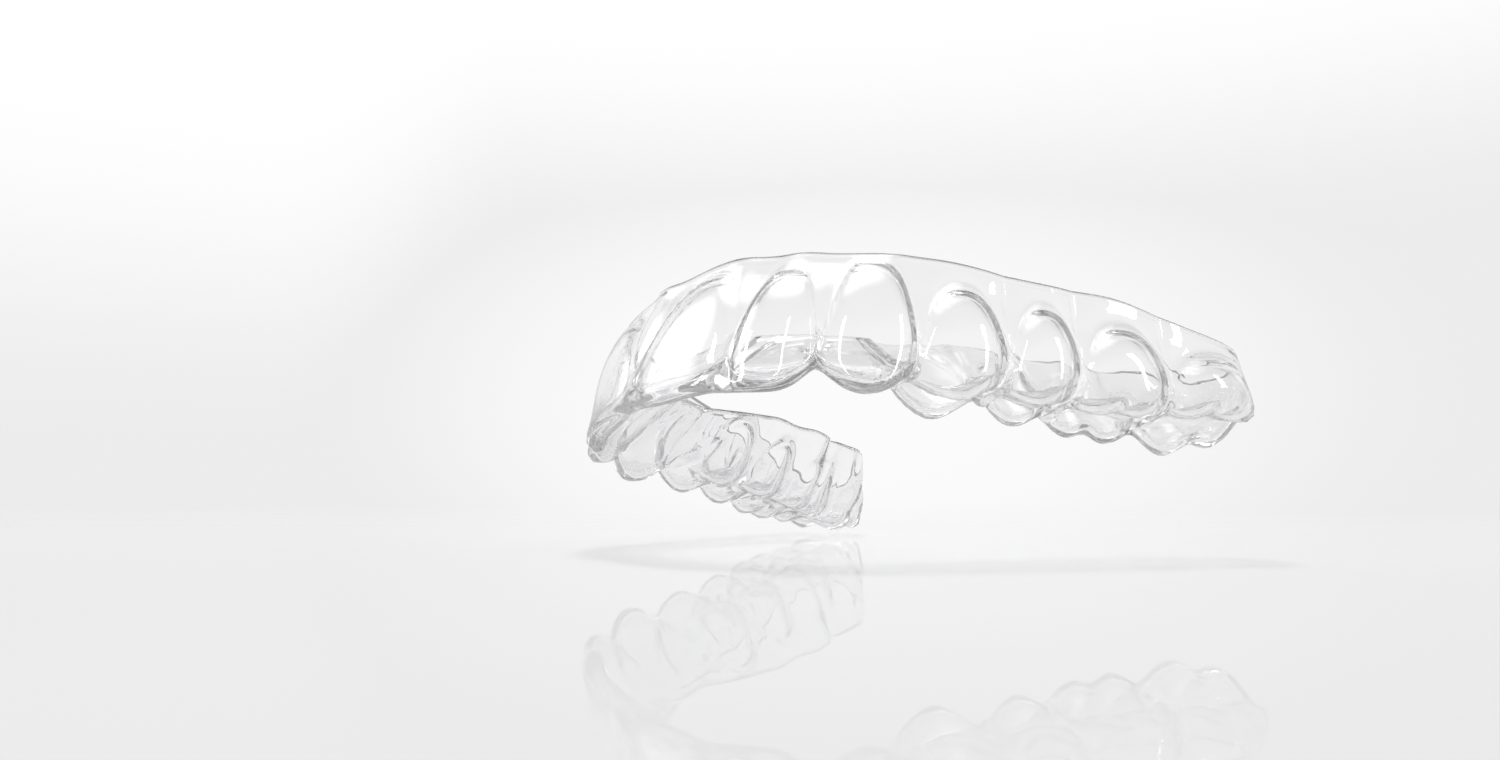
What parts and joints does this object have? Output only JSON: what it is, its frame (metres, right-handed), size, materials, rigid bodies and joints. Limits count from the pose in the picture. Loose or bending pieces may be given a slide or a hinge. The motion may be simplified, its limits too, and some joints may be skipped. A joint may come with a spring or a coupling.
{
  "type": "clear dental aligner",
  "caption": "Thin clear thermoformed aligner for the upper teeth, an open U-shaped trough with a tooth-shaped pocket for each crown and a curved trim line on the gum.",
  "frame": {"origin": "bottom centre of the bounding box, on the surface that the biting edges and cusps rest on", "axes": "+X to the wearer's left, -Y to the front of the mouth, +Z from the biting edges towards the gum"},
  "size_m": [0.0592, 0.0438, 0.0121],
  "materials": {
    "clear_sheet": "clear gloss"
  },
  "bodies": {
    "root": {"aligner_shell": "clear_sheet"}
  },
  "joints": []
}
